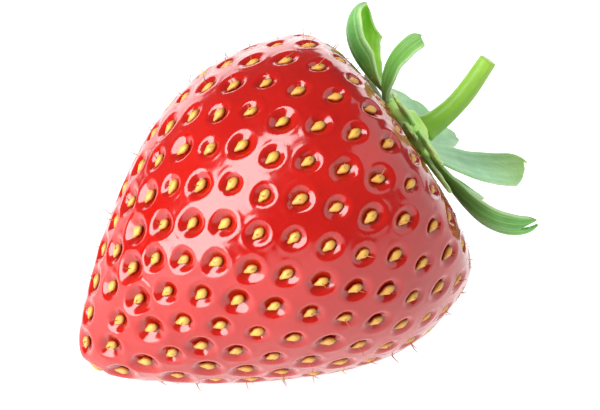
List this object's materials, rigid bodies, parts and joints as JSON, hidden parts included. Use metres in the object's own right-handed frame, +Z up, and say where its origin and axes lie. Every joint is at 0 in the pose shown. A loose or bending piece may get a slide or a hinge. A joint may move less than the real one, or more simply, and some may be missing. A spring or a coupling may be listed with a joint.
{
  "type": "strawberry",
  "caption": "Ripe strawberry as picked, lying on its flank: a blunt cone of a fruit with a leafy green cap and a short bent stalk.",
  "frame": {"origin": "centre of the small flat on the flank that the fruit rests on, at the floor", "axes": "+Z up; the fruit's axis lies in the XZ plane, from the tip at -X up to the leafy cap at +X, 29.5 degrees above the floor; +Y to the left of someone looking along +X"},
  "size_m": [0.0466, 0.0316, 0.0323],
  "materials": {
    "fruit_skin": "glossy, moist",
    "cap_base_green": "matte, slightly translucent",
    "stalk_green": "satin",
    "sepal_green": "matte, downy",
    "bract_green": "matte, downy",
    "seed_gold": "satin"
  },
  "bodies": {
    "root": {"fruit": "fruit_skin", "cap_base": "cap_base_green", "stalk": "stalk_green", "sepal_1": "sepal_green", "sepal_2": "sepal_green", "sepal_3": "sepal_green", "sepal_4": "sepal_green", "sepal_5": "sepal_green", "sepal_6": "sepal_green", "bract_1": "bract_green", "bract_2": "bract_green", "bract_3": "bract_green", "bract_4": "bract_green", "bract_5": "bract_green", "bract_6": "bract_green"}
  },
  "joints": []
}
